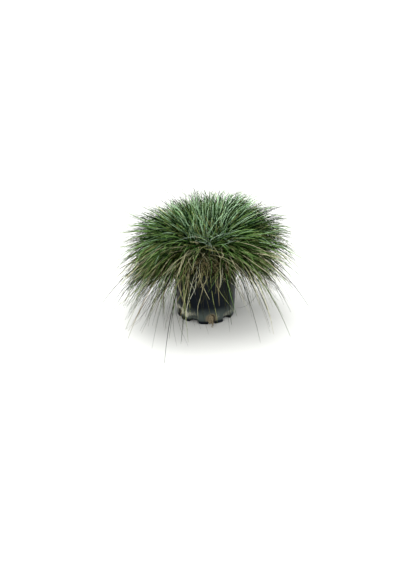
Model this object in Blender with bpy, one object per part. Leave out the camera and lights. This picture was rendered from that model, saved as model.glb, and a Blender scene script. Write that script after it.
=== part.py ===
"""A blue fescue clump in its black nursery pot.

Metres, +Z up. The origin is on the ground under the middle of the pot, and the open
side of the clump, where the pot shows, faces -Y. Each tuft is the solid form of a bunch
of needle leaves and reaches the tips of those leaves.
"""

import math
import random

import bmesh
import bpy
from mathutils import Vector

# Pot: pressed black plastic, five feet with a drain slot in each.
POT_HEIGHT = 0.109
LIP_RADIUS = 0.065
LIP_HEIGHT = 0.009
LIP_PROUD = 0.0028
BASE_RADIUS = 0.0595
WALL = 0.0012
SEGMENTS = 45
FEET = 5
FRONT_FOOT_TURN = math.radians(11)
FOOT_INNER_RADIUS = 0.0435
FOOT_CLEARANCE = 0.0045
FLUTE_DEPTH = 0.006
FLUTE_FULL_HEIGHT = 0.012
FLUTE_TOP = 0.024
CENTRE_HOLE_RADIUS = 0.005
SLOT_WIDTH = 0.0135
SLOT_HEIGHT = 0.022
SLOT_CUT_INWARD = 0.0062
SLOT_CUT_LENGTH = 0.012
SLOT_CUT_BELOW = 0.003
SLOT_ARCH_STEPS = 6
SHARP_ANGLE = math.radians(35)

# Root ball of compost, filled to just under the lip.
FIT_GAP = 0.0005
COMPOST_TOP = 0.1006
COMPOST_EDGE_DROP = 0.004

# Crown: the knot of leaf bases that sits on the compost.
CROWN_RADIUS = 0.046
CROWN_HEIGHT = 0.052
CROWN_BASE = COMPOST_TOP + FIT_GAP
KNOB_DEPTH = 0.006
ROOT_GAP = 0.0008

# Leaves spread from a point inside the crown.
SPREAD_CENTRE = 0.136
DROOP_START = 0.045
FRONT = -math.pi / 2
SIDEWAYS_SWAY = 0.10
SWAY_PHASE = 1.1
SWAY_LENGTH = 0.15
UNEVEN_SPACING = 0.06
SPACING_PHASE = 0.7
FRONT_EASING = 0.5
EASED_HALF_WIDTH = math.radians(60)
TRIMMED_HALF_WIDTH = math.radians(70)

LEAF_RADIUS = 0.0008
TIP_NARROWING = 0.55
LIP_CLEARANCE = 0.0024
FRONT_LEAF_BOW = 0.10
FRONT_LEAF_HANG = 0.35

COLOURS = {
    "black_plastic": ((0.022, 0.026, 0.027), 0.42),
    "compost": ((0.050, 0.034, 0.022), 0.95),
    "leaf_bases": ((0.115, 0.110, 0.050), 0.80),
    "blue_green_leaf": ((0.065, 0.135, 0.065), 0.55),
    "green_leaf": ((0.055, 0.110, 0.035), 0.55),
    "straw_leaf": ((0.175, 0.155, 0.065), 0.70),
    "root_fibre": ((0.115, 0.075, 0.040), 0.85),
}


def clear_scene():
    for obj in list(bpy.data.objects):
        bpy.data.objects.remove(obj)


def material(name):
    if name in bpy.data.materials:
        return bpy.data.materials[name]
    colour, roughness = COLOURS[name]
    made = bpy.data.materials.new(name)
    made.use_nodes = True
    shader = made.node_tree.nodes["Principled BSDF"]
    shader.inputs["Base Color"].default_value = (*colour, 1)
    shader.inputs["Roughness"].default_value = roughness
    shader.inputs["Metallic"].default_value = 0.0
    return made


def add_object(name, data, finish):
    obj = bpy.data.objects.new(name, data)
    bpy.context.scene.collection.objects.link(obj)
    data.materials.append(material(finish))
    return obj


def finish_mesh(name, bm, finish):
    bmesh.ops.recalc_face_normals(bm, faces=bm.faces)
    mesh = bpy.data.meshes.new(name)
    bm.to_mesh(mesh)
    bm.free()
    mesh.shade_smooth()
    mesh.set_sharp_from_angle(angle=SHARP_ANGLE)
    return add_object(name, mesh, finish)


# ---------------------------------------------------------------- pot and root ball


def spin_profile(profile, closed):
    """A solid turned about Z from (radius, height) points."""
    bm = bmesh.new()
    verts = [bm.verts.new((radius, 0, height)) for radius, height in profile]
    ends = zip(verts, verts[1:] + verts[:1]) if closed else zip(verts, verts[1:])
    edges = [bm.edges.new(pair) for pair in ends]
    bmesh.ops.spin(
        bm,
        geom=verts + edges,
        cent=(0, 0, 0),
        axis=(0, 0, 1),
        angle=2 * math.pi,
        steps=SEGMENTS,
        use_merge=True,
    )
    bmesh.ops.remove_doubles(bm, verts=bm.verts, dist=1e-6)
    return bm


def smooth_step(low, high, value):
    share = min(1, max(0, (value - low) / (high - low)))
    return share * share * (3 - 2 * share)


def foot_angle(index):
    """Azimuth of the middle of a foot; foot 0 is the one nearest the front."""
    return FRONT + FRONT_FOOT_TURN + 2 * math.pi * index / FEET


def between_feet(azimuth):
    """1 in the flute between two feet, 0 on the feet."""
    wave = -math.cos(FEET * (azimuth - foot_angle(0)))
    return smooth_step(0.5, 0.92, wave)


def press_flutes(bm):
    """Pushes the lower wall in between the feet and lifts its edge off the ground."""
    for vert in bm.verts:
        x, y, z = vert.co
        radius = math.hypot(x, y)
        if z > FLUTE_TOP or radius < FOOT_INNER_RADIUS - WALL:
            continue
        share = between_feet(math.atan2(y, x))
        fade = 1 - smooth_step(FLUTE_FULL_HEIGHT, FLUTE_TOP, z)
        outward = smooth_step(FOOT_INNER_RADIUS - WALL, BASE_RADIUS - WALL, radius)
        drawn_in = 1 - FLUTE_DEPTH * share * fade * outward / radius
        lift = FOOT_CLEARANCE * share * max(0, 1 - z / FLUTE_FULL_HEIGHT)
        vert.co = (x * drawn_in, y * drawn_in, z + lift)


def wall_radius(height):
    """Outer radius of the tapering wall."""
    neck = LIP_RADIUS - LIP_PROUD
    return BASE_RADIUS + (neck - BASE_RADIUS) * height / (POT_HEIGHT - LIP_HEIGHT)


def make_pot():
    neck = POT_HEIGHT - LIP_HEIGHT
    wall_heights = (0.006, FLUTE_FULL_HEIGHT, 0.018, FLUTE_TOP, 0.062, neck - 0.0015)
    outer = [(wall_radius(z), z) for z in wall_heights]
    inner = [(wall_radius(z) - WALL, z) for z in reversed(wall_heights)]
    underside = [
        (CENTRE_HOLE_RADIUS, FOOT_CLEARANCE),
        (FOOT_INNER_RADIUS - 0.003, FOOT_CLEARANCE),
        (FOOT_INNER_RADIUS, 0),
        (BASE_RADIUS - 0.0018, 0),
        (BASE_RADIUS - 0.0003, 0.0015),
    ]
    lip = [
        (LIP_RADIUS - 0.0007, neck - 0.0005),
        (LIP_RADIUS, neck + 0.001),
        (LIP_RADIUS, POT_HEIGHT - 0.002),
        (LIP_RADIUS - 0.001, POT_HEIGHT),
        (LIP_RADIUS - 0.0024, POT_HEIGHT),
        (LIP_RADIUS - 0.0034, POT_HEIGHT - 0.0015),
        (LIP_RADIUS - 0.0038, neck + 0.002),
    ]
    floor = [
        (BASE_RADIUS - 0.0028, WALL + 0.0004),
        (FOOT_INNER_RADIUS + 0.0008, WALL),
        (FOOT_INNER_RADIUS - 0.0022, FOOT_CLEARANCE + WALL),
        (CENTRE_HOLE_RADIUS, FOOT_CLEARANCE + WALL),
    ]
    bm = spin_profile(underside + outer + lip + inner + floor, closed=True)
    press_flutes(bm)
    pot = finish_mesh("pot", bm, "black_plastic")
    for index in range(FEET):
        cut = pot.modifiers.new(f"drain_slot_{index + 1}", "BOOLEAN")
        cut.operation = "DIFFERENCE"
        cut.object = make_slot_cutter(index)
    return pot


def make_slot_cutter(index):
    """A round-topped bar that runs out through the wall of one foot."""
    bm = bmesh.new()
    radius = SLOT_WIDTH / 2
    spring = SLOT_HEIGHT - radius
    arch = [math.pi * step / SLOT_ARCH_STEPS for step in range(SLOT_ARCH_STEPS + 1)]
    outline = [(radius * math.cos(a), spring + radius * math.sin(a)) for a in arch]
    outline += [(-radius, -SLOT_CUT_BELOW), (radius, -SLOT_CUT_BELOW)]
    start = BASE_RADIUS - SLOT_CUT_INWARD
    face = bm.faces.new([bm.verts.new((start, y, z)) for y, z in outline])
    grown = bmesh.ops.extrude_face_region(bm, geom=[face])["geom"]
    moved = [item for item in grown if isinstance(item, bmesh.types.BMVert)]
    bmesh.ops.translate(bm, vec=(SLOT_CUT_LENGTH, 0, 0), verts=moved)
    cutter = finish_mesh(f"slot_cutter_{index + 1}", bm, "black_plastic")
    cutter.rotation_euler.z = foot_angle(index)
    cutter.hide_render = True
    cutter.display_type = "WIRE"
    return cutter


def make_compost():
    """The root ball fills the pot, down into the feet."""
    edge = COMPOST_TOP - COMPOST_EDGE_DROP
    wall_heights = (edge, 0.062, FLUTE_TOP, 0.018, FLUTE_FULL_HEIGHT, 0.006)
    side = [(wall_radius(z) - WALL - FIT_GAP, z) for z in wall_heights]
    over_floor = FOOT_CLEARANCE + WALL + FIT_GAP
    foot_floor = WALL + 0.0004 + FIT_GAP
    profile = [
        (0, COMPOST_TOP),
        (0.020, COMPOST_TOP),
        (0.048, COMPOST_TOP - 0.001),
        *side,
        (BASE_RADIUS - 0.0036, foot_floor),
        (FOOT_INNER_RADIUS + 0.0014, foot_floor),
        (FOOT_INNER_RADIUS - 0.0026, over_floor),
        (0, over_floor),
    ]
    bm = spin_profile(profile, closed=False)
    press_flutes(bm)
    return finish_mesh("compost", bm, "compost")


def make_crown():
    """A low dome with shallow knobs, flat where it sits on the compost."""
    bm = bmesh.new()
    bmesh.ops.create_uvsphere(bm, u_segments=24, v_segments=10, radius=1)
    everything = bm.verts[:] + bm.edges[:] + bm.faces[:]
    cut = bmesh.ops.bisect_plane(
        bm, geom=everything, plane_co=(0, 0, 0), plane_no=(0, 0, -1), clear_outer=True
    )
    rim = [item for item in cut["geom_cut"] if isinstance(item, bmesh.types.BMEdge)]
    bmesh.ops.contextual_create(bm, geom=rim)
    for vert in bm.verts:
        knob = 1 - KNOB_DEPTH * (1 + math.sin(9 * vert.co.x + 7 * vert.co.y))
        flat = Vector((vert.co.x * CROWN_RADIUS, vert.co.y * CROWN_RADIUS, 0))
        vert.co = flat * knob + Vector((0, 0, CROWN_BASE + vert.co.z * CROWN_HEIGHT * knob))
    return finish_mesh("crown", bm, "leaf_bases")


# ---------------------------------------------------------------- tufts


def towards_front(azimuth, half_width):
    """1 at the open side of the clump, falling to 0 this far round from it."""
    off = abs((azimuth - FRONT + math.pi) % (2 * math.pi) - math.pi)
    return 1 - smooth_step(0, half_width, off)


def crown_distance(elevation):
    """From the spread centre to just outside the crown, at this elevation."""
    wide = (CROWN_RADIUS + ROOT_GAP) ** 2
    tall = (CROWN_HEIGHT + ROOT_GAP) ** 2
    offset = SPREAD_CENTRE - CROWN_BASE
    across, up = math.cos(elevation), math.sin(elevation)
    a = across * across / wide + up * up / tall
    b = 2 * up * offset / tall
    c = offset * offset / tall - 1
    return (-b + math.sqrt(b * b - 4 * a * c)) / (2 * a)


def crown_radius_at(height):
    """How far out a leaf starts that leaves the crown's side at this height."""
    rise = (height - CROWN_BASE) / (CROWN_HEIGHT + ROOT_GAP)
    return (CROWN_RADIUS + ROOT_GAP) * math.sqrt(1 - rise * rise)


def leaf_point(azimuth, elevation, distance, droop):
    """A point on a leaf that leaves the crown straight and then sinks under its weight.

    Neighbours sway together, so leaves that start apart stay apart.
    """
    grown = max(0, distance - DROOP_START) / SWAY_LENGTH
    turned = azimuth + UNEVEN_SPACING * math.sin(2 * azimuth + SPACING_PHASE)
    turned += SIDEWAYS_SWAY * grown * math.sin(3 * azimuth + 3 * elevation + SWAY_PHASE)
    out = distance * math.cos(elevation)
    eased = droop * (1 - FRONT_EASING * towards_front(azimuth, EASED_HALF_WIDTH))
    sunk = eased * max(0, out - DROOP_START) ** 2
    height = SPREAD_CENTRE + distance * math.sin(elevation) - sunk
    return Vector((out * math.cos(turned), out * math.sin(turned), height))


class Tier:
    """A ring of tufts between two elevations, counted round from the open side.

    fill is the share of the ring's width that the tufts take.
    """

    def __init__(
        self, name, finish, count, low, high, length, droop, spikes, fill=1, front_trim=0
    ):
        self.name = name
        self.finish = finish
        self.count = count
        self.low = math.radians(low)
        self.high = math.radians(high)
        self.length = length
        self.droop = droop
        self.spikes = spikes
        self.fill = fill
        self.front_trim = front_trim

    def azimuth(self, index):
        return FRONT + 2 * math.pi * (index + 0.5) / self.count


DROOPING = Tier("drooping_tuft", "straw_leaf", 13, -4, 15, 0.174, 5.6, 5, fill=0.84)
SPREADING = Tier("spreading_tuft", "green_leaf", 13, 17, 36, 0.202, 3.8, 5, front_trim=0.3)
ARCHING = Tier("arching_tuft", "blue_green_leaf", 10, 38, 57, 0.145, 3.0, 4, front_trim=0.12)
UPRIGHT = Tier("upright_tuft", "blue_green_leaf", 6, 59, 86, 0.110, 2.0, 4)
FRONT_DROOPING = Tier("front_tuft", "straw_leaf", 13, -1, 15, 0.098, 33, 5, fill=0.84)
OPEN_SIDE = (0, DROOPING.count - 1)

# Cross-sections of a tuft's body: (place along it, share of its width, of its height).
BODY_RINGS = ((0.0, 0.78, 0.62), (0.24, 0.94, 0.72), (0.48, 0.94, 0.62))
SPIKE_WAIST = 0.76
SPIKE_NARROWING = 0.55
SPIKE_LEAN = 0.06
SIDE_SPIKE_LENGTHS = (0.88, 0.97)
EDGE_THINNING = 0.55

# Tufts' lengths, as shares of their tier's.
LENGTH_SPREAD = (0.93, 1.06)


def lens_height(across):
    """Half the thickness of a tuft at this place across it, as a share of the middle."""
    return 1 - EDGE_THINNING * across * across


def tuft_in_cell(spikes, rng):
    """A tuft in cell coordinates: X along it from 0 to 1, Y across and Z up from -1 to 1.

    The body ends in a row of faces, and each is drawn out into a pointed spike.
    """
    bm = bmesh.new()
    columns = [2 * step / spikes - 1 for step in range(spikes + 1)]
    start, wide, tall = BODY_RINGS[0]
    rows = [
        [bm.verts.new((start, wide * y, side * tall * lens_height(y))) for y in columns]
        for side in (1, -1)
    ]
    top, bottom = rows
    front = [
        bm.faces.new((top[i], top[i + 1], bottom[i + 1], bottom[i])) for i in range(spikes)
    ]
    grown = bmesh.ops.extrude_face_region(bm, geom=front)["geom"]
    for before, after in zip(BODY_RINGS, BODY_RINGS[1:]):
        verts = [item for item in grown if isinstance(item, bmesh.types.BMVert)]
        faces = [item for item in grown if isinstance(item, bmesh.types.BMFace)]
        for vert in verts:
            vert.co.x = after[0]
            vert.co.y *= after[1] / before[1]
            vert.co.z *= after[2] / before[2]
        if after is not BODY_RINGS[-1]:
            grown = bmesh.ops.extrude_face_region(bm, geom=faces)["geom"]
            bmesh.ops.delete(bm, geom=faces, context="FACES_ONLY")
    ends = sorted(faces, key=lambda face: face.calc_center_median().y)
    drawn = bmesh.ops.extrude_discrete_faces(bm, faces=ends)["faces"]
    for place, face in enumerate(sorted(drawn, key=lambda f: f.calc_center_median().y)):
        middle = face.calc_center_median()
        lean = rng.uniform(-SPIKE_LEAN, SPIKE_LEAN)
        for vert in face.verts:
            vert.co = middle + (vert.co - middle) * SPIKE_NARROWING
            vert.co.x = SPIKE_WAIST
            vert.co.z += lean
        tip = bmesh.ops.poke(bm, faces=[face])["verts"][0]
        is_middle = place == spikes // 2
        tip.co.x = 1.0 if is_middle else rng.uniform(*SIDE_SPIKE_LENGTHS)
        tip.co.z += 2 * lean
    return bm


def make_tuft(tier, index, number, rng):
    """Lays one tuft out along its leaves."""
    azimuth = tier.azimuth(index)
    middle = (tier.low + tier.high) / 2
    half_tall = (tier.high - tier.low) / 2
    half_wide = tier.fill * math.pi / tier.count
    trim = 1 - tier.front_trim * towards_front(azimuth, TRIMMED_HALF_WIDTH)
    tip_distance = tier.length * trim * rng.uniform(*LENGTH_SPREAD)
    bm = tuft_in_cell(tier.spikes, rng)
    for vert in bm.verts:
        along, across, up = vert.co
        elevation = middle + up * half_tall
        root = crown_distance(elevation)
        distance = root + along * (tip_distance - root)
        vert.co = leaf_point(azimuth + across * half_wide, elevation, distance, tier.droop)
    bmesh.ops.triangulate(bm, faces=bm.faces)
    return finish_mesh(f"{tier.name}_{number:02d}", bm, tier.finish)


def make_tufts():
    rng = random.Random(7)
    for tier in (DROOPING, SPREADING, ARCHING, UPRIGHT, FRONT_DROOPING):
        indices = range(tier.count)
        if tier is DROOPING:
            indices = [index for index in indices if index not in OPEN_SIDE]
        elif tier is FRONT_DROOPING:
            indices = OPEN_SIDE
        for number, index in enumerate(indices, start=1):
            make_tuft(tier, index, number, rng)


# ---------------------------------------------------------------- single leaves


def bezier(start, pull_start, pull_end, end, share):
    rest = 1 - share
    return (
        start * rest**3
        + pull_start * 3 * rest * rest * share
        + pull_end * 3 * rest * share * share
        + end * share**3
    )


def make_strand(name, points, radii, finish):
    """A thin tapering strand through these points."""
    curve = bpy.data.curves.new(name, "CURVE")
    curve.dimensions = "3D"
    curve.bevel_depth = 1.0
    curve.bevel_resolution = 0
    curve.use_fill_caps = True
    spline = curve.splines.new("POLY")
    spline.points.add(len(points) - 1)
    for point, place, radius in zip(spline.points, points, radii):
        point.co = (*place, 1)
        point.radius = radius
    return add_object(name, curve, finish)


def leaf_radii(steps):
    return [LEAF_RADIUS * (1 - TIP_NARROWING * step / steps) for step in range(steps + 1)]


def trailing_leaf(name, gap, tip_out, tip_height, finish):
    """A long leaf that grows in a gap between two drooping tufts and ends at its tip.

    gap counts the gaps round from the front; tip_out is the tip's distance from the axis.
    """
    steps = 11
    azimuth = FRONT + 2 * math.pi * gap / DROOPING.count
    elevation = (DROOPING.low + DROOPING.high) / 2
    root = crown_distance(elevation)
    tip = tip_out / math.cos(elevation)
    straight = leaf_point(azimuth, elevation, tip, 0).z
    sunk_by_one = straight - leaf_point(azimuth, elevation, tip, 1).z
    droop = (straight - tip_height) / sunk_by_one
    points = [
        leaf_point(azimuth, elevation, root + (tip - root) * step / steps, droop)
        for step in range(steps + 1)
    ]
    return make_strand(name, points, leaf_radii(steps), finish)


def front_leaf(name, turn, tip, finish):
    """A thin leaf from under the tufts, over the lip and down to its tip at (x, y, z)."""
    steps = 9
    azimuth = FRONT + math.radians(turn)
    lead = Vector((math.cos(azimuth), math.sin(azimuth), 0))
    over_lip = Vector((0, 0, POT_HEIGHT + LIP_CLEARANCE))
    start = lead * LIP_RADIUS + over_lip
    end = Vector(tip)
    away = (end - start).length
    pull_start = start + lead * away * FRONT_LEAF_BOW
    pull_end = end + Vector((0, 0, FRONT_LEAF_HANG * (start.z - end.z)))
    points = [lead * (crown_radius_at(over_lip.z) + LEAF_RADIUS / 2) + over_lip]
    points += [
        bezier(start, pull_start, pull_end, end, step / steps) for step in range(steps + 1)
    ]
    return make_strand(name, points, leaf_radii(steps + 1), finish)


# The longest leaves: (gap, distance of the tip from the axis, its height, finish).
GROUND = 0.0009
TRAILING = (
    (1, 0.140, 0.040, "green_leaf"),
    (2, 0.205, 0.012, "straw_leaf"),
    (3, 0.2155, 0.010, "green_leaf"),
    (5, 0.204, GROUND, "green_leaf"),
    (6, 0.2176, 0.008, "green_leaf"),
    (8, 0.206, 0.016, "straw_leaf"),
    (9, 0.212, GROUND, "green_leaf"),
    (10, 0.216, 0.020, "green_leaf"),
    (11, 0.190, GROUND, "straw_leaf"),
    (12, 0.218, GROUND, "green_leaf"),
)

# Leaves in front of the pot: (degrees round from the front, tip, finish).
FRONT_LEAVES = (
    (-19, (-0.040, -0.074, 0.012), "straw_leaf"),
    (-8, (-0.004, -0.080, 0.030), "green_leaf"),
    (5, (0.020, -0.082, 0.010), "straw_leaf"),
    (18, (0.046, -0.090, GROUND), "green_leaf"),
)


def make_single_leaves():
    for number, leaf in enumerate(TRAILING, start=1):
        trailing_leaf(f"trailing_leaf_{number:02d}", *leaf)
    for number, leaf in enumerate(FRONT_LEAVES, start=1):
        front_leaf(f"front_leaf_{number:02d}", *leaf)


def make_drain_roots():
    """Roots that have grown out of the front foot's slot, onto the ground."""
    lead = Vector((math.cos(foot_angle(0)), math.sin(foot_angle(0)), 0))
    side = Vector((-lead.y, lead.x, 0))
    route = ((0.0588, 0.000, 0.0060), (0.0622, 0.001, 0.0040), (0.0662, 0.000, 0.0016))
    route += ((0.0710, -0.002, 0.0013), (0.0755, -0.001, 0.0011))
    points = [lead * out + side * across + Vector((0, 0, z)) for out, across, z in route]
    radii = (0.0013, 0.0014, 0.0012, 0.0010, 0.0007)
    return make_strand("drain_roots", points, radii, "root_fibre")


clear_scene()
make_pot()
make_compost()
make_crown()
make_tufts()
make_single_leaves()
make_drain_roots()
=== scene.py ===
import math

import bmesh
import bpy
import numpy as np
from mathutils import Matrix, Vector, noise


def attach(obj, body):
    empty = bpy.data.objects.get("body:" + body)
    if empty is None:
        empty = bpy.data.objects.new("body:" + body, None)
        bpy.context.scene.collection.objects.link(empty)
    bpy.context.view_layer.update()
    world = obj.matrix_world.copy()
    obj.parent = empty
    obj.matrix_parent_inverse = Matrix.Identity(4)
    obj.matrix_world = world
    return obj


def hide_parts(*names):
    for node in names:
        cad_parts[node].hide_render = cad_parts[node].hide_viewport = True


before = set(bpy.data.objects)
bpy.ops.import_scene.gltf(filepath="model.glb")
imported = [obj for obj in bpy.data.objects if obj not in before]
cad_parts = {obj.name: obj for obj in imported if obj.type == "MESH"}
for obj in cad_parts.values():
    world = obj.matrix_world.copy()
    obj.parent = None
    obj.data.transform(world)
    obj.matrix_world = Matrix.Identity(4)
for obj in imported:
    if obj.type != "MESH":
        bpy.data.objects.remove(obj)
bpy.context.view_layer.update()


# ==================================================================== nursery pot
# A 13 cm pot of thin black polypropylene, blown in one piece: tapering wall, turned-out
# lip, and five feet with a drain slot in each, parted by flutes. Its foot is dusty with
# dried compost, and the black is satin from handling.

POT_HEIGHT = 0.109
LIP_RADIUS = 0.065
LIP_HEIGHT = 0.009
LIP_PROUD = 0.0028
BASE_RADIUS = 0.0595
WALL = 0.0012
TURN_STEPS = 180
FEET = 5
FRONT = -math.pi / 2
FRONT_FOOT_TURN = math.radians(11)
FOOT_INNER_RADIUS = 0.0435
FOOT_CLEARANCE = 0.0045
FLUTE_DEPTH = 0.006
FLUTE_FULL_HEIGHT = 0.012
FLUTE_TOP = 0.024
# Where a flute's side starts and ends, on the wave that runs from -1 at a foot to 1 between.
FLUTE_SIDE = (0.5, 0.92)
CENTRE_HOLE_RADIUS = 0.005
SLOT_WIDTH = 0.0135
SLOT_HEIGHT = 0.022
SLOT_MIDDLE = 0.012
SLOT_CUT_IN = 0.0062
SLOT_CUT_LENGTH = 0.012
SLOT_CUT_BELOW = 0.003
SLOT_ARC_STEPS = 40
# Where compost has splashed the feet: (degrees round from the front, height, radius, how
# much it covers).
SPLASHES = (
    (-76, 0.021, 0.008, 0.85),
    (-64, 0.022, 0.008, 0.95),
    (-52, 0.020, 0.008, 1.0),
    (-42, 0.017, 0.008, 0.95),
    (-32, 0.019, 0.007, 0.60),
    (-23, 0.021, 0.006, 0.38),
    (44, 0.017, 0.005, 0.35),
    (56, 0.015, 0.006, 0.40),
)
SHARP = math.radians(35)
NEAR = 1e-6


def smooth_step(low, high, value):
    share = np.clip((value - low) / (high - low), 0, 1)
    return share * share * (3 - 2 * share)


def foot_angle(index):
    """Azimuth of the middle of a foot; foot 0 is the one nearest the front."""
    return FRONT + FRONT_FOOT_TURN + 2 * math.pi * index / FEET


def wall_radius(height):
    """Outer radius of the tapering wall."""
    neck = LIP_RADIUS - LIP_PROUD
    return BASE_RADIUS + (neck - BASE_RADIUS) * height / (POT_HEIGHT - LIP_HEIGHT)


def in_order(bm):
    """Sorts the faces, which spin and extrude leave in another order each run."""
    bm.verts.index_update()
    count = len(bm.verts)

    def rank(face):
        first, second, third = sorted(vert.index for vert in face.verts)[:3]
        return (first * count + second) * count + third

    bm.faces.sort(key=rank)


def turned(profile, closed):
    """A solid of revolution from (radius, height) points."""
    bm = bmesh.new()
    verts = [bm.verts.new((radius, 0, height)) for radius, height in profile]
    ends = zip(verts, verts[1:] + verts[:1]) if closed else zip(verts, verts[1:])
    edges = [bm.edges.new(pair) for pair in ends]
    bmesh.ops.spin(
        bm,
        geom=verts + edges,
        cent=(0, 0, 0),
        axis=(0, 0, 1),
        angle=2 * math.pi,
        steps=TURN_STEPS,
        use_merge=True,
    )
    bmesh.ops.remove_doubles(bm, verts=bm.verts, dist=NEAR)
    in_order(bm)
    bmesh.ops.recalc_face_normals(bm, faces=bm.faces)
    return bm


def press_flutes(bm):
    """Pushes the lower wall in between the feet and lifts its edge off the ground."""
    for vert in bm.verts:
        x, y, z = vert.co
        radius = math.hypot(x, y)
        if z > FLUTE_TOP or radius < FOOT_INNER_RADIUS - WALL:
            continue
        wave = -math.cos(FEET * (math.atan2(y, x) - foot_angle(0)))
        share = smooth_step(*FLUTE_SIDE, wave)
        fade = 1 - smooth_step(FLUTE_FULL_HEIGHT, FLUTE_TOP, z)
        outward = smooth_step(FOOT_INNER_RADIUS - WALL, BASE_RADIUS - WALL, radius)
        drawn_in = 1 - FLUTE_DEPTH * share * fade * outward / radius
        lift = FOOT_CLEARANCE * share * max(0, 1 - z / FLUTE_FULL_HEIGHT)
        vert.co = (x * drawn_in, y * drawn_in, z + lift)


def place(name, bm, finish):
    """Makes the finished object, in its place in the frame."""
    mesh = bpy.data.meshes.new(name)
    bm.to_mesh(mesh)
    bm.free()
    mesh.shade_smooth()
    mesh.set_sharp_from_angle(angle=SHARP)
    mesh.materials.append(finish.material)
    piece = bpy.data.objects.new(name, mesh)
    bpy.context.scene.collection.objects.link(piece)
    return piece


def stand_for(piece, node):
    """The piece rides on the part's one body, in place of this CAD node."""
    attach(piece, "root")
    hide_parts(node)


class Value:
    """A socket of a finish. Sums on it add Math nodes."""

    def __init__(self, finish, socket):
        self.finish = finish
        self.socket = socket

    def maths(self, operation, *numbers):
        values = dict(enumerate(numbers))
        return self.finish.node("ShaderNodeMath", {"operation": operation}, values)

    def __add__(self, other):
        return self.maths("ADD", self, other)

    def __radd__(self, other):
        return self.maths("ADD", other, self)

    def __sub__(self, other):
        return self.maths("SUBTRACT", self, other)

    def __rsub__(self, other):
        return self.maths("SUBTRACT", other, self)

    def __mul__(self, other):
        return self.maths("MULTIPLY", self, other)

    def __rmul__(self, other):
        return self.maths("MULTIPLY", other, self)

    def floor(self):
        return self.maths("FLOOR", self)

    def fraction(self):
        return self.maths("FRACT", self)

    def away_from(self, number):
        return self.maths("ABSOLUTE", self - number)

    def rising(self, low, high):
        """0 below low, 1 above high and smooth between them."""
        values = {"Value": self, "From Min": low, "From Max": high}
        settings = {"interpolation_type": "SMOOTHSTEP"}
        return self.finish.node("ShaderNodeMapRange", settings, values)


class Finish:
    """A procedural material, built node by node."""

    def __init__(self, name, roughness=0.5, specular=0.5):
        self.material = bpy.data.materials.new(name)
        self.material.use_nodes = True
        self.tree = self.material.node_tree
        self.shader = self.tree.nodes["Principled BSDF"]
        self.shader.inputs["Roughness"].default_value = roughness
        self.shader.inputs["Specular IOR Level"].default_value = specular

    def give(self, socket, value):
        if isinstance(value, Value):
            self.tree.links.new(value.socket, socket)
        elif isinstance(value, (tuple, list)) and len(value) == 3 and socket.type == "RGBA":
            socket.default_value = (*value, 1)
        else:
            socket.default_value = value

    def node(self, kind, settings=None, values=None, output=0):
        made = self.tree.nodes.new(kind)
        for name, value in (settings or {}).items():
            if name == "stops":
                made.color_ramp.interpolation = "CONSTANT"
                made.color_ramp.elements.remove(made.color_ramp.elements[1])
                made.color_ramp.elements[0].color = (*value[0][1], 1)
                for at, colour in value[1:]:
                    made.color_ramp.elements.new(at).color = (*colour, 1)
            else:
                setattr(made, name, value)
        for name, value in (values or {}).items():
            self.give(made.inputs[name], value)
        return Value(self, made.outputs[output])

    def ramp(self, value, stops):
        """Steps from one colour to the next."""
        return self.node("ShaderNodeValToRGB", {"stops": stops}, {"Fac": value})

    def place(self):
        return self.node("ShaderNodeTexCoord", output="Object")

    def part(self, vector, axis):
        return self.node("ShaderNodeSeparateXYZ", values={0: vector}, output=axis)

    def vector(self, x, y, z):
        return self.node("ShaderNodeCombineXYZ", values={0: x, 1: y, 2: z})

    def stretched(self, vector, scale):
        return self.node("ShaderNodeVectorMath", {"operation": "MULTIPLY"}, {0: vector, 1: scale})

    def distance(self, vector, point):
        settings = {"operation": "DISTANCE"}
        return self.node("ShaderNodeVectorMath", settings, {0: vector, 1: point}, "Value")

    def noise(self, vector, scale, detail=3.0, roughness=0.5):
        values = {"Vector": vector, "Scale": scale, "Detail": detail, "Roughness": roughness}
        return self.node("ShaderNodeTexNoise", values=values)

    def mix(self, share, first, second, way="MIX"):
        settings = {"data_type": "RGBA", "blend_type": way}
        return self.node("ShaderNodeMix", settings, {0: share, 6: first, 7: second}, 2)

    def bump(self, height, distance, strength=1.0):
        values = {"Height": height, "Distance": distance, "Strength": strength}
        self.give(self.shader.inputs["Normal"], self.node("ShaderNodeBump", values=values))

    def coat(self, **values):
        for name, value in values.items():
            self.give(self.shader.inputs[name.replace("_", " ")], value)


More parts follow.
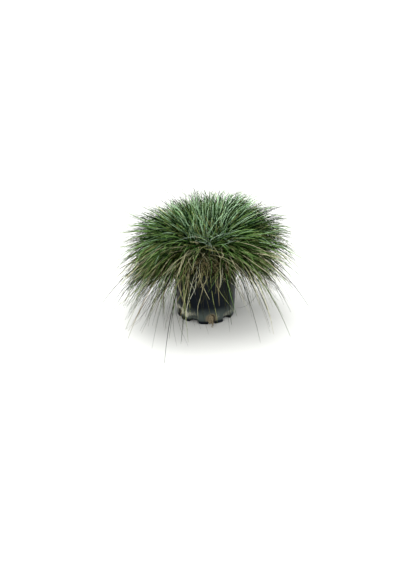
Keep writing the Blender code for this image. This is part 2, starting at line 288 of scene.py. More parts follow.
def pot_profile():
    neck = POT_HEIGHT - LIP_HEIGHT
    wall_heights = [0.003, 0.006, 0.009, FLUTE_FULL_HEIGHT, 0.015, 0.018, 0.021, FLUTE_TOP]
    wall_heights += [0.035, 0.062, 0.085, neck - 0.0015]
    outer = [(wall_radius(z), z) for z in wall_heights]
    inner = [(wall_radius(z) - WALL, z) for z in reversed(wall_heights)]
    underside = [
        (CENTRE_HOLE_RADIUS, FOOT_CLEARANCE),
        (FOOT_INNER_RADIUS - 0.0035, FOOT_CLEARANCE),
        (FOOT_INNER_RADIUS - 0.0025, FOOT_CLEARANCE - 0.0008),
        (FOOT_INNER_RADIUS - 0.0006, 0.0006),
        (FOOT_INNER_RADIUS + 0.0006, 0),
        (BASE_RADIUS - 0.0020, 0),
        (BASE_RADIUS - 0.0009, 0.0004),
        (BASE_RADIUS - 0.0003, 0.0015),
    ]
    lip = [
        (LIP_RADIUS - 0.0018, neck - 0.0011),
        (LIP_RADIUS - 0.0007, neck - 0.0006),
        (LIP_RADIUS - 0.0001, neck + 0.0003),
        (LIP_RADIUS, neck + 0.0012),
        (LIP_RADIUS, POT_HEIGHT - 0.0020),
        (LIP_RADIUS - 0.0003, POT_HEIGHT - 0.0008),
        (LIP_RADIUS - 0.0010, POT_HEIGHT - 0.0001),
        (LIP_RADIUS - 0.0017, POT_HEIGHT),
        (LIP_RADIUS - 0.0026, POT_HEIGHT - 0.0003),
        (LIP_RADIUS - 0.0033, POT_HEIGHT - 0.0014),
        (LIP_RADIUS - 0.0037, neck + 0.0020),
    ]
    floor = [
        (BASE_RADIUS - 0.0028, WALL + 0.0004),
        (FOOT_INNER_RADIUS + 0.0008, WALL),
        (FOOT_INNER_RADIUS - 0.0022, FOOT_CLEARANCE + WALL),
        (CENTRE_HOLE_RADIUS, FOOT_CLEARANCE + WALL),
    ]
    return underside + outer + lip + inner + floor


def slot_cutter(index):
    """A round-topped bar that runs out through the wall of one foot."""
    radius = SLOT_WIDTH / 2
    spring = SLOT_HEIGHT - radius
    bm = bmesh.new()
    upright = Matrix.Rotation(math.pi / 2, 4, "Y")
    stand = Matrix.Translation((BASE_RADIUS - SLOT_CUT_IN, 0, spring)) @ upright
    made = bmesh.ops.create_circle(
        bm, cap_ends=True, segments=SLOT_ARC_STEPS, radius=radius, matrix=stand
    )
    for vert in made["verts"]:
        if vert.co.z < spring - NEAR:
            vert.co.z = -SLOT_CUT_BELOW
            vert.co.y = math.copysign(radius, vert.co.y)
    bmesh.ops.remove_doubles(bm, verts=bm.verts, dist=NEAR)
    grown = bmesh.ops.extrude_face_region(bm, geom=bm.faces[:])["geom"]
    moved = [item for item in grown if isinstance(item, bmesh.types.BMVert)]
    bmesh.ops.translate(bm, vec=(SLOT_CUT_LENGTH, 0, 0), verts=moved)
    bmesh.ops.rotate(bm, verts=bm.verts, matrix=Matrix.Rotation(foot_angle(index), 3, "Z"))
    in_order(bm)
    bmesh.ops.recalc_face_normals(bm, faces=bm.faces)
    return bm


def black_plastic():
    finish = Finish("satin_black_plastic", specular=0.09)
    place_on = finish.place()
    height = finish.part(place_on, "Z")
    broad = finish.noise(place_on, 34.0, 4.0, 0.6)
    fine = finish.noise(place_on, 420.0, 4.0, 0.7)
    grit = finish.noise(place_on, 1500.0, 2.0, 0.6)
    streaks = finish.noise(finish.stretched(place_on, (1, 1, 0.12)), 160.0, 3.0, 0.6)
    ragged = height + 0.018 * (0.5 - broad) + 0.008 * (0.5 - fine)
    # Film and mud are kept off the lowest 5.5 to 9.5 mm, so the foot is darker at the bottom.
    above_rim = (height + 0.004 * (0.5 - fine)).rising(0.0055, 0.0095)
    film = (1 - ragged.rising(0.016, 0.040)) * above_rim
    mud = 0.35 * (1 - ragged.rising(0.010, 0.024)) * broad.rising(0.50, 0.62)
    for turn, up, radius, cover in SPLASHES:
        azimuth = FRONT + math.radians(turn)
        splash = (BASE_RADIUS * math.cos(azimuth), BASE_RADIUS * math.sin(azimuth), up)
        away = finish.distance(place_on, splash) + 0.010 * (0.5 - fine)
        mud = mud.maths("MAXIMUM", mud, cover * (1 - away.rising(0.4 * radius, 1.3 * radius)))
    mud = mud * above_rim * fine.rising(0.22, 0.48)
    foot = foot_angle(0)
    slot_mouth = (BASE_RADIUS * math.cos(foot), BASE_RADIUS * math.sin(foot), SLOT_MIDDLE)
    from_slot = finish.distance(place_on, slot_mouth) + 0.010 * (0.5 - fine)
    near_slot = (1 - from_slot.rising(0.009, 0.015)) * above_rim
    dust = streaks.rising(0.35, 0.80) * (0.35 + 0.65 * fine)
    plastic = finish.mix(dust * 0.30, (0.0006, 0.0026, 0.0062), (0.012, 0.018, 0.022))
    plastic = finish.mix(film * 0.85, plastic, (0.066, 0.082, 0.074))
    dried = finish.mix(fine, (0.19, 0.19, 0.14), (0.60, 0.59, 0.47))
    brown = finish.mix(grit, (0.050, 0.040, 0.022), (0.26, 0.21, 0.13))
    colour = finish.mix(mud.rising(0, 1), plastic, dried)
    colour = finish.mix(near_slot * 0.75, colour, brown)
    rough = 0.30 + 0.10 * streaks + 0.25 * film + 0.3 * mud + 0.3 * near_slot
    finish.coat(Base_Color=colour, Roughness=rough)
    finish.bump(grit * (0.12 + 0.9 * mud) + 0.5 * broad, 0.0004)
    return finish


def make_pot():
    bm = turned(pot_profile(), closed=True)
    press_flutes(bm)
    pot = place("pot_shell", bm, black_plastic())
    cutters = []
    for index in range(FEET):
        cutter_mesh = bpy.data.meshes.new("drain_slot")
        cutter_bm = slot_cutter(index)
        cutter_bm.to_mesh(cutter_mesh)
        cutter_bm.free()
        cutter = bpy.data.objects.new("drain_slot", cutter_mesh)
        bpy.context.scene.collection.objects.link(cutter)
        cutters.append(cutter)
        cut = pot.modifiers.new("drain_slot", "BOOLEAN")
        cut.operation = "DIFFERENCE"
        cut.object = cutter
    seen = pot.evaluated_get(bpy.context.evaluated_depsgraph_get())
    cut_mesh = bpy.data.meshes.new_from_object(seen)
    pot.modifiers.clear()
    pot.data = cut_mesh
    cut_mesh.set_sharp_from_angle(angle=SHARP)
    for cutter in cutters:
        bpy.data.objects.remove(cutter)
    stand_for(pot, "pot")


make_pot()


# ==================================================================== root ball
# Peat and bark compost that fills the pot to just under the lip and down into the feet,
# where it shows in the drain slots. It is poured in and held by the roots.

FIT_GAP = 0.0005
COMPOST_TOP = 0.1006
COMPOST_EDGE_DROP = 0.004
COMPOST_TOP_RINGS_MM = range(0, 50, 3)
COMPOST_TOP_DEPTH = 0.003


def compost_profile():
    edge = COMPOST_TOP - COMPOST_EDGE_DROP
    heights = (edge, 0.085, 0.062, 0.035, FLUTE_TOP, 0.021, 0.018, 0.015, FLUTE_FULL_HEIGHT)
    heights += (0.009, 0.006)
    side = [(wall_radius(z) - WALL - FIT_GAP, z) for z in heights]
    over_floor = FOOT_CLEARANCE + WALL + FIT_GAP
    foot_floor = WALL + 0.0004 + FIT_GAP
    top = [(radius / 1000, COMPOST_TOP) for radius in COMPOST_TOP_RINGS_MM]
    return [
        *top,
        (0.053, COMPOST_TOP - 0.0012),
        (0.0565, COMPOST_TOP - 0.0028),
        *side,
        (BASE_RADIUS - 0.0036, foot_floor),
        (FOOT_INNER_RADIUS + 0.0014, foot_floor),
        (FOOT_INNER_RADIUS - 0.0026, over_floor),
        (0.020, over_floor),
        (0, over_floor),
    ]


def moist_compost():
    finish = Finish("moist_compost", roughness=0.92, specular=0.25)
    place_on = finish.place()
    crumbs = finish.noise(place_on, 300.0, 5.0, 0.65)
    grain = finish.noise(place_on, 1100.0, 3.0, 0.6)
    bark = crumbs.rising(0.56, 0.66)
    earth = finish.mix(grain, (0.018, 0.011, 0.006), (0.085, 0.058, 0.032))
    colour = finish.mix(bark * 0.7, earth, (0.20, 0.145, 0.085))
    fibres = finish.noise(finish.stretched(place_on, (1, 1, 0.35)), 900.0, 4.0, 0.7)
    # In the slots the compost shows a mat of root fibres, darker than the rest: partly its own
    # colour, partly painted shade in the recess behind the wall.
    mat = finish.mix(fibres.rising(0.35, 0.65), (0.008, 0.006, 0.003), (0.060, 0.048, 0.030))
    in_slot = 1 - finish.part(place_on, "Z").rising(SLOT_HEIGHT, SLOT_HEIGHT + 0.004)
    colour = finish.mix(in_slot, colour, mat)
    finish.coat(Base_Color=colour)
    finish.bump(crumbs + 0.4 * grain, 0.0012)
    return finish


def make_compost():
    bm = turned(compost_profile(), closed=False)
    press_flutes(bm)
    for vert in bm.verts:
        lump = noise.noise(vert.co * 190) + 0.5 * noise.noise(vert.co * 430)
        inward = Vector((vert.co.x, vert.co.y, 0)).normalized() * min(0, -0.0005 + 0.0006 * lump)
        on_top = vert.co.z > COMPOST_TOP - COMPOST_TOP_DEPTH
        vert.co += Vector((0, 0, 0.0010 * (lump - 0.7))) if on_top else inward
    stand_for(place("root_ball", bm, moist_compost()), "compost")


make_compost()


# ==================================================================== leaves: the form
# Blue fescue has rolled, needle-thin leaves about a millimetre across and 10 to 20 cm
# long. Each grows out of a pale sheath in the crown, leaves it straight and then sinks
# under its own weight. Tips of older leaves dry out to straw.

# The way that a leaf grows. All leaves spread from one point over the crown, except that
# their roots are spread out in it.
SPREAD_CENTRE = 0.136
CROWN_BASE = COMPOST_TOP + FIT_GAP
LEAF_START = 0.006
LOWEST_ROOT = -0.006
SPREAD_ROOTS_END = 0.115
DROOP_START = 0.045
EASED_AT_FRONT = 0.5
EASED_HALF_WIDTH = math.radians(60)
UNEVEN_SPACING = 0.06
SIDEWAYS_SWAY = 0.10
SWAY_LENGTH = 0.15
WAVES = (0.6, 1.7)
KNEES = (0.15, 0.6)
GROUND = 0.0009
WALL_CLEARANCE = 0.0012
LIP_MARGIN = 0.004
IN_CROWN = 0.030
TIPS_BEND_FROM = 0.234
TIPS_BEND_SHARE = 0.65

# The shape of one leaf, in shares of its width, and its width.
LEAF_SIDES = 3
LEAF_RINGS = 11
FOOT_SHARE = 0.72
FOOT_SWELL = 1.1
TIP_SHARE = 0.30
LEAF_WIDTHS = (0.0008, 0.0012)
BLOOM_AND_HIGHLIGHT_WIDTH = 0.0005
TWISTS = (-2, 2)

# The leaf map has a row for each colouring. Each row has its own brightness, partly tone and
# partly painted light and shade. Bright rows, from these shares up, have bloom lightened as a
# painted highlight.
LEAF_MAP = "OFBake"
COLOUR_ROWS = 32
ROW_MARGIN = 0.06
BRIGHTNESS_STEP = 0.382
BLOOM_AND_HIGHLIGHT_BRIGHTNESS = (0.66, 0.86)
MIDDLE_OF_ROW = (0.45, 0.65)


def leaf_form(rings):
    """One straight leaf along Z from 0 to 1: a closed needle with this many rings.

    Gives its vertices, its faces, and for each face corner the place along the leaf, the
    place round it, and the vertex.
    """
    bm = bmesh.new()
    bmesh.ops.create_cone(
        bm,
        cap_ends=True,
        segments=LEAF_SIDES,
        radius1=1,
        radius2=1,
        depth=1,
        matrix=Matrix.Translation((0, 0, 0.5)),
    )
    for ring in range(1, rings - 1):
        everything = bm.verts[:] + bm.edges[:] + bm.faces[:]
        cut_at = (0, 0, ring / (rings - 1))
        bmesh.ops.bisect_plane(bm, geom=everything, plane_co=cut_at, plane_no=(0, 0, 1))
    bm.verts.index_update()
    verts = np.array([vert.co[:] for vert in bm.verts])
    faces, corners = [], []
    for face in bm.faces:
        faces.append([vert.index for vert in face.verts])
        middle = face.calc_center_median()
        is_cap = abs(face.normal.z) > 0.5
        column = math.atan2(middle.y, middle.x) / (2 * math.pi) % 1
        for vert in face.verts:
            turn = math.atan2(vert.co.y, vert.co.x) / (2 * math.pi) - column
            round_it = column + (turn + 0.5) % 1 - 0.5
            nudge = 0.01 * vert.co.x * (1 if vert.co.z < 0.5 else -1) if is_cap else 0
            if is_cap:
                round_it = 0.5 + 0.3 * vert.co.y
            corners.append((abs(vert.co.z + nudge), round_it, vert.index))
    bm.free()
    return verts, faces, np.array(corners)


def unit(vectors):
    return vectors / np.maximum(np.linalg.norm(vectors, axis=-1, keepdims=True), 1e-9)


def bundle(name, finish, lines, widths, rows, twists, azimuths, coloured=(0, 1)):
    """Joins one leaf along each centre line into a piece.

    lines is leaves x rings x 3. A leaf is at its full width from a quarter of the way up,
    and fines down to its tip. rows says which of the finish's colour rows each leaf has,
    and coloured which stretch of that row runs along it.
    """
    count, rings = lines.shape[:2]
    form, form_faces, corners = leaf_form(rings)
    ring = np.rint(form[:, 2] * (rings - 1)).astype(int)
    angle = np.arctan2(form[:, 1], form[:, 0])
    along = unit(np.gradient(lines, axis=1))
    sideways = np.stack([-np.sin(azimuths), np.cos(azimuths), 0 * azimuths], -1)[:, None]
    lift = unit(np.cross(along, np.broadcast_to(sideways, along.shape)))
    side = np.cross(lift, along)
    share = np.linspace(0, 1, rings)
    body = np.minimum(1, FOOT_SHARE + FOOT_SWELL * share) * (1 - (1 - TIP_SHARE) * share**4)
    spin = angle[None] + twists[:, None] * share[ring][None]
    reach = widths[:, None] / 2 * body[ring][None]
    verts = lines[:, ring] + (reach * np.cos(spin))[..., None] * side[:, ring]
    verts += (reach * np.sin(spin))[..., None] * lift[:, ring]
    shift = len(form)
    faces = [
        [corner + leaf * shift for corner in face] for leaf in range(count) for face in form_faces
    ]
    mesh = bpy.data.meshes.new(name)
    mesh.from_pydata(verts.reshape(-1, 3), [], faces)
    leaf_map = mesh.uv_layers.new(name=LEAF_MAP)
    across = ROW_MARGIN + (1 - 2 * ROW_MARGIN) * (corners[:, 1] % 1.0001)
    map_u = coloured[0] + (coloured[1] - coloured[0]) * corners[:, 0]
    map_u = np.broadcast_to(map_u, (count, len(corners)))
    map_v = (rows[:, None] + across[None]) / COLOUR_ROWS
    leaf_map.uv.foreach_set("vector", np.stack([map_u, map_v], -1).astype(np.float32).ravel())
    mesh.shade_smooth()
    mesh.materials.append(finish.material)
    piece = bpy.data.objects.new(name, mesh)
    bpy.context.scene.collection.objects.link(piece)
    return piece


def leaf_widths(draw, rows):
    """The bright leaves, with a waxy coat and a painted highlight, are the stout ones."""
    bloom_and_highlight = smooth_step(*BLOOM_AND_HIGHLIGHT_BRIGHTNESS, (rows * BRIGHTNESS_STEP) % 1)
    return draw.uniform(*LEAF_WIDTHS, len(rows)) + BLOOM_AND_HIGHLIGHT_WIDTH * bloom_and_highlight


def towards(middle, azimuth, half_width):
    """1 on this side of the clump, falling to 0 this far round from it."""
    off = np.abs((azimuth - middle + math.pi) % (2 * math.pi) - math.pi)
    return 1 - smooth_step(0, half_width, off)


def leaf_flow(azimuth, elevation, distance, droop):
    """Points on leaves that leave the crown straight and then sink under their weight."""
    grown = np.maximum(0, distance - DROOP_START) / SWAY_LENGTH
    heading = azimuth + UNEVEN_SPACING * np.sin(2 * azimuth + 0.7)
    heading = heading + SIDEWAYS_SWAY * grown * np.sin(3 * azimuth + 3 * elevation + 1.1)
    out = distance * np.cos(elevation)
    eased = droop * (1 - EASED_AT_FRONT * towards(FRONT, azimuth, EASED_HALF_WIDTH))
    sunk = eased * np.maximum(0, out - DROOP_START) ** 2
    height = SPREAD_CENTRE + distance * np.sin(elevation) - sunk
    return np.stack([out * np.cos(heading), out * np.sin(heading), height], -1)


def kept_clear(lines):
    """Leaves lie on the ground and against the pot, not in them; the tallest bend over."""
    x, y, z = np.moveaxis(lines, -1, 0)
    radius = np.maximum(np.hypot(x, y), 1e-6)
    beside_lip = z > POT_HEIGHT - LIP_HEIGHT - LIP_MARGIN
    wall = np.where(beside_lip, LIP_RADIUS, wall_radius(z)) + WALL_CLEARANCE
    inside = (z < POT_HEIGHT + WALL_CLEARANCE) & (radius < wall) & (radius > IN_CROWN)
    out = np.where(inside, wall / radius, 1)
    bent = z - TIPS_BEND_SHARE * np.maximum(0, z - TIPS_BEND_FROM)
    return np.stack([x * out, y * out, np.maximum(bent, GROUND)], -1)


def grown_leaves(draw, shoot, azimuth, elevation, reach, droop, habit, rings=LEAF_RINGS):
    """Centre lines of leaves of this habit; shoot says which leaves share a shoot.

    habit is (spread of the roots, how far up they start, sideways curl, waviness, kink).
    """
    count = len(azimuth)
    shoots = shoot.max() + 1
    root_spread, root_rise, curl, wave, kink = habit
    share = np.linspace(0, 1, rings)[None]
    distance = LEAF_START + share * (reach[:, None] - LEAF_START)
    curled = azimuth[:, None] + curl * draw.normal(0, 1, (count, 1)) * share**2
    lines = leaf_flow(curled, elevation[:, None], distance, droop[:, None])
    shoot_angle = draw.uniform(0, 2 * math.pi, shoots)[shoot]
    shoot_out = root_spread * np.sqrt(draw.uniform(0, 1, shoots))[shoot]
    rise = draw.uniform(LOWEST_ROOT, root_rise, shoots)[shoot]
    roots = np.stack(
        [
            shoot_out * np.cos(shoot_angle) + 0.5 * root_spread * np.cos(azimuth),
            shoot_out * np.sin(shoot_angle) + 0.5 * root_spread * np.sin(azimuth),
            rise,
        ],
        -1,
    )
    fade = 1 - smooth_step(0.0, SPREAD_ROOTS_END, distance)
    lines = lines + roots[:, None] * fade[..., None]
    side = np.stack([-np.sin(azimuth), np.cos(azimuth), 0 * azimuth], -1)[:, None]
    phase = draw.uniform(0, 2 * math.pi, (count, 1))
    turns = draw.uniform(*WAVES, (count, 1))
    sway = wave * draw.normal(0, 1, (count, 1)) * np.sin(2 * math.pi * turns * share + phase)
    lines = lines + (sway * share)[..., None] * side
    knee = draw.uniform(*KNEES, (count, 1))
    past_knee = np.maximum(0, share - knee)
    bend_side = kink * draw.normal(0, 1, (count, 1)) * past_knee
    bend_down = kink * draw.normal(0.1, 0.7, (count, 1)) * past_knee
    lines = lines + bend_side[..., None] * side
    lines = lines - bend_down[..., None] * np.array([0, 0, 1.0])
    return kept_clear(lines)


def rounded(points, rings):
    """A line through these points with its corners worn off and its rings evenly apart."""
    line = np.asarray(points)
    for _ in range(2):
        near, far = 0.75 * line[:-1] + 0.25 * line[1:], 0.25 * line[:-1] + 0.75 * line[1:]
        line = np.concatenate([line[:1], np.stack([near, far], 1).reshape(-1, 3), line[-1:]])
    reached = np.concatenate([[0], np.cumsum(np.linalg.norm(np.diff(line, axis=0), axis=1))])
    at = np.linspace(0, reached[-1], rings)
    return np.stack([np.interp(at, reached, line[:, axis]) for axis in range(3)], -1)


def leaf_finish(name, kinds, sheath, rough, tip_light, base_light=1.0, specular=0.03):
    """Leaves of one slot. Each row of the leaf map is the colouring of one leaf.

    kinds are (first row, colour, its colour under the waxy coat lightened as a painted highlight,
    what it dries out to), from the greenest rows up. tip_light and base_light are how light
    the two ends of a leaf are beside its middle: painted light and shade.
    """
    finish = Finish(name, roughness=rough, specular=specular)
    spot = finish.node("ShaderNodeUVMap", {"uv_map": LEAF_MAP})
    along = finish.part(spot, "X")
    rows = finish.part(spot, "Y") * COLOUR_ROWS
    row = rows.floor()
    round_it = rows.fraction()
    whole_row = row * (1 / COLOUR_ROWS) + 0.5 / COLOUR_ROWS
    blade, bloom_and_highlight, dry = (
        finish.ramp(whole_row, [(kind[0] / COLOUR_ROWS, kind[which]) for kind in kinds])
        for which in (1, 2, 3)
    )
    settings = {"noise_dimensions": "1D"}
    chance = finish.node("ShaderNodeTexWhiteNoise", settings, {"W": row + 0.37}, "Color")
    warm, dried = (finish.part(chance, axis) for axis in "XY")
    # Each row's brightness is partly the leaf's own tone and partly painted light and shade: the
    # darkest rows stand for leaves in shade inside the clump, and the brightest take the bloom
    # colour as a painted highlight.
    bright = (row * BRIGHTNESS_STEP).fraction()
    streak = finish.noise(finish.vector(along * 7, row * 3.1, round_it * 1.6), 1.0, 3.0, 0.6)
    colour = finish.mix(warm * 0.5, blade, finish.mix(1.0, blade, (1.25, 0.95, 0.6), "MULTIPLY"))
    colour = finish.mix(1.0, colour, 0.022 + 0.9 * bright * bright * bright, "MULTIPLY")
    colour = finish.mix(0.95 * bright.rising(*BLOOM_AND_HIGHLIGHT_BRIGHTNESS), colour, bloom_and_highlight)
    withered = (along + 0.35 * streak + 0.30 * dried).rising(1.20, 1.40)
    colour = finish.mix(withered * 0.7, colour, dry)
    at_base = 1 - (along + 0.16 * streak).rising(0.22, 0.50)
    has_sheath = dried.rising(0.58, 0.78)
    colour = finish.mix(at_base * has_sheath, colour, sheath)
    # A painted highlight along one side of each leaf.
    painted_ridge_highlight = 1 - round_it.away_from(0.5).rising(0.10, 0.34)
    # Painted shade: the lower part of a leaf without a pale sheath is darkened nearly to black, as
    # deep in the clump.
    painted_base_shade = 1 - 0.88 * at_base * (1 - has_sheath)
    # Painted light and shade along the leaf: its tip lighter or darker than its middle, its base
    # darker.
    ends = 1 + (tip_light - 1) * along.rising(0.45, 1.0)
    ends = ends * (base_light + (1 - base_light) * along.rising(0.10, 0.60))
    light = (0.65 + 0.5 * streak + 0.1 * painted_ridge_highlight) * painted_base_shade * ends
    finish.coat(Base_Color=finish.mix(1.0, colour, light, "MULTIPLY"))
    return finish


# Blades and sheaths: (colour, colour under the bloom lightened as a painted highlight). Tips:
# what a blade dries out to.
BLUE_GREEN_BLADE = ((0.030, 0.235, 0.042), (0.510, 0.750, 0.480))
GREEN_BLADE = ((0.053, 0.262, 0.012), (0.265, 0.465, 0.140))
OLIVE_BLADE = ((0.145, 0.180, 0.024), (0.380, 0.430, 0.170))
STRAW_BLADE = ((0.265, 0.215, 0.066), (0.680, 0.660, 0.410))
BLEACHED_BLADE = ((0.290, 0.265, 0.160), (0.760, 0.760, 0.590))
BROWN_BLADE = ((0.150, 0.090, 0.032), (0.480, 0.390, 0.220))
PALE_SHEATH = ((0.130, 0.190, 0.120), (0.640, 0.800, 0.640))
DRY_TIP = (0.085, 0.130, 0.028)
DEAD_TIP = (0.270, 0.270, 0.100)

BLUE_GREEN = leaf_finish(
    "blue_green_blades",
    kinds=(
        (0, *BLUE_GREEN_BLADE, DRY_TIP),
        (22, *GREEN_BLADE, DRY_TIP),
        (29, *OLIVE_BLADE, DEAD_TIP),
    ),
    sheath=(0.44, 0.49, 0.36),
    rough=0.40,
    tip_light=1.40,
    base_light=0.06,
)
GREEN = leaf_finish(
    "green_blades",
    kinds=(
        (0, *BLUE_GREEN_BLADE, DRY_TIP),
        (8, *GREEN_BLADE, DRY_TIP),
        (23, *OLIVE_BLADE, DRY_TIP),
        (29, *STRAW_BLADE, DEAD_TIP),
    ),
    sheath=(0.45, 0.49, 0.34),
    rough=0.42,
    tip_light=0.85,
    base_light=0.06,
)
STRAW = leaf_finish(
    "ageing_blades",
    kinds=(
        (0, *GREEN_BLADE, DRY_TIP),
        (14, *OLIVE_BLADE, DRY_TIP),
        (22, *STRAW_BLADE, DEAD_TIP),
        (26, *BLEACHED_BLADE, DEAD_TIP),
        (27, *STRAW_BLADE, DEAD_TIP),
        (29, *BROWN_BLADE, DEAD_TIP),
    ),
    sheath=(0.46, 0.44, 0.30),
    rough=0.50,
    tip_light=0.66,
    base_light=0.14,
)
SHEATH = leaf_finish(
    "old_sheaths",
    kinds=(
        (0, *PALE_SHEATH, DEAD_TIP),
        (11, *STRAW_BLADE, DEAD_TIP),
        (18, *OLIVE_BLADE, DEAD_TIP),
        (25, *BROWN_BLADE, DEAD_TIP),
    ),
    sheath=(0.50, 0.53, 0.42),
    rough=0.50,
    tip_light=1.0,
)


# ==================================================================== crown
# The knot of shoot bases on the compost: pale sheaths and the brown remains of old
# leaves, packed so tightly that it is nearly solid; its dome is coloured near black as
# painted shade. Pale strands cross its open side.

THATCH_RADIUS = 0.038
THATCH_HEIGHT = 0.030
SHEATHS = 420
SHEATH_ELEVATIONS = (-12, 75)
SHEATH_LENGTHS = (0.032, 0.066)
SHEATH_DROOPS = (4, 30)
SHEATH_HABIT = (0.026, 0.030, 0.30, 0.0030, 0.030)
SHEATH_RINGS = 7
CROWN_STRAND_RINGS = 13
CROWN_STRAND_WIDTH = 0.8
CROWN_STRAND_ROOT = 0.3
CROWN_STRAND_RISE = 0.7
# Strands that cross over the open front of the crown: (colour row, the places they pass,
# in millimetres), and how far all of them lie in front of those places and above them.
CROWN_STRANDS_SHIFT = (0, -0.058, 0.027)
CROWN_STRANDS = (
    (5, ((7, -15, 156), (8, -10, 158), (18, -5, 163), (33, 0, 166), (48, 5, 167), (62, 10, 167))),
    (
        5,
        (
            (6, -12, 156), (-2, -13, 158), (-10, -14, 162), (-16, -15, 166), (-36, -18, 166),
            (-61, -20, 156),
        ),
    ),
    (5, ((2, -20, 156), (-8, -20, 156), (-15, -20, 158), (-20, -20, 160))),
    (10, ((7, -10, 157), (2, -8, 158), (-4, -5, 162), (-7, -3, 170), (-7, 0, 174))),
    (5, ((6, -15, 158), (8, -22, 153), (11, -28, 149), (11, -35, 139))),
    (13, ((12, -20, 151), (18, -27, 144), (23, -33, 138), (27, -40, 132))),
    (10, ((30, -20, 151), (41, -20, 156), (50, -20, 159), (59, -20, 161))),
    (2, ((43, -10, 152), (51, -3, 159), (61, 5, 162), (68, 12, 168), (77, 20, 177))),
    (10, ((7, 0, 148), (2, 3, 160), (1, 7, 167), (0, 10, 176))),
    (18, ((8, -20, 152), (-2, -25, 151), (-10, -30, 150), (-17, -35, 145), (-27, -45, 132))),
)


def thatch_and_painted_shade():
    finish = Finish("thatch_and_painted_shade", roughness=0.9, specular=0.1)
    place_on = finish.place()
    strands = finish.noise(finish.stretched(place_on, (1, 1, 0.25)), 520.0, 4.0, 0.7)
    broad = finish.noise(place_on, 120.0, 2.0, 0.5)
    # The thatch is coloured near black: painted shade deep in the crown.
    colour = finish.mix(strands.rising(0.35, 0.7), (0.002, 0.002, 0.001), (0.022, 0.018, 0.009))
    finish.coat(Base_Color=finish.mix(broad * 0.5, colour, (0.006, 0.007, 0.003)))
    finish.bump(strands, 0.0015)
    return finish


def make_crown():
    bm = bmesh.new()
    bmesh.ops.create_uvsphere(bm, u_segments=72, v_segments=36, radius=1)
    in_order(bm)
    everything = bm.verts[:] + bm.edges[:] + bm.faces[:]
    cut = bmesh.ops.bisect_plane(
        bm, geom=everything, plane_co=(0, 0, 0), plane_no=(0, 0, -1), clear_outer=True
    )
    rim = [item for item in cut["geom_cut"] if isinstance(item, bmesh.types.BMEdge)]
    bmesh.ops.contextual_create(bm, geom=rim)
    for vert in bm.verts:
        lump = 0.90 + 0.10 * noise.noise(vert.co * 4.2) + 0.05 * noise.noise(vert.co * 11)
        x, y, z = vert.co
        spot = Vector((x * THATCH_RADIUS, y * THATCH_RADIUS, z * THATCH_HEIGHT)) * lump
        vert.co = spot + Vector((0, 0, CROWN_BASE))
    bmesh.ops.recalc_face_normals(bm, faces=bm.faces)
    return place("crown_thatch_and_shade", bm, thatch_and_painted_shade())


def make_sheaths():
    """The bases of shoots that have lost their leaves, at all angles round the crown."""
    draw = np.random.default_rng(5)
    azimuth = draw.uniform(-math.pi, math.pi, SHEATHS)
    elevation = np.radians(draw.uniform(*SHEATH_ELEVATIONS, SHEATHS))
    reach = draw.uniform(*SHEATH_LENGTHS, SHEATHS)
    shoot = np.arange(SHEATHS)
    droop = draw.uniform(*SHEATH_DROOPS, SHEATHS)
    lines = grown_leaves(
        draw, shoot, azimuth, elevation, reach, droop, SHEATH_HABIT, SHEATH_RINGS
    )
    rows = draw.integers(0, COLOUR_ROWS, SHEATHS)
    piece = bundle(
        "crown_sheaths",
        SHEATH,
        lines,
        widths=leaf_widths(draw, rows),
        rows=rows,
        twists=draw.uniform(*TWISTS, SHEATHS),
        azimuths=azimuth,
    )
    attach(piece, "root")


def make_crown_strands():
    draw = np.random.default_rng(7)
    lines = []
    for _, places in CROWN_STRANDS:
        route = np.array(places) / 1000 + CROWN_STRANDS_SHIFT
        root_x, root_y = CROWN_STRAND_ROOT * route[0, :2]
        root = (root_x, root_y, CROWN_BASE + CROWN_STRAND_RISE * THATCH_HEIGHT)
        lines.append(rounded([root, *route], CROWN_STRAND_RINGS))
    lines = np.array(lines)
    rows = np.array([row for row, _ in CROWN_STRANDS])
    piece = bundle(
        "crown_strands",
        SHEATH,
        lines,
        widths=CROWN_STRAND_WIDTH * leaf_widths(draw, rows),
        rows=rows,
        twists=draw.uniform(*TWISTS, len(rows)),
        azimuths=np.arctan2(lines[:, -1, 1], lines[:, -1, 0]),
        coloured=MIDDLE_OF_ROW,
    )
    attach(piece, "root")


make_sheaths()
make_crown_strands()
stand_for(make_crown(), "crown")


# ==================================================================== tufts
# The clump's leaves in four rings, from the upright young ones in the middle to the old
# ones that droop over the lip, and two short tufts in the last ring's gap at the front.
# Each tuft is a bunch of leaves that grow side by side.


class Ring:
    """A ring of tufts between two elevations, counted round from the open side.

    habit is what grown_leaves takes, and leaves how many a tuft has. front_gap thins them
    out at the front. trims are (side of the clump, how much shorter its leaves are there),
    and shorter how far lengths differ. age is the share of the finish's rows at which the
    leaves' colours lie, and front_age what the front adds to it.
    """

    def __init__(
        self, name, slot, count, low, high, length, droop, leaves, habit,
        front_gap=0, trims=(), shorter=0.62, age=0.5, front_age=0,
    ):
        self.name = name
        self.slot = slot
        self.count = count
        self.low = math.radians(low)
        self.high = math.radians(high)
        self.length = length
        self.droop = droop
        self.leaves = leaves
        self.habit = habit
        self.front_gap = front_gap
        self.trims = trims
        self.shorter = shorter
        self.age = age
        self.front_age = front_age

    def azimuth(self, index):
        return FRONT + 2 * math.pi * (index + 0.5) / self.count


FRONT_RIGHT, RIGHT, BACK_LEFT = math.radians(-40), math.radians(20), math.radians(145)
FINISHES = {"blue_green_leaf": BLUE_GREEN, "green_leaf": GREEN, "straw_leaf": STRAW}

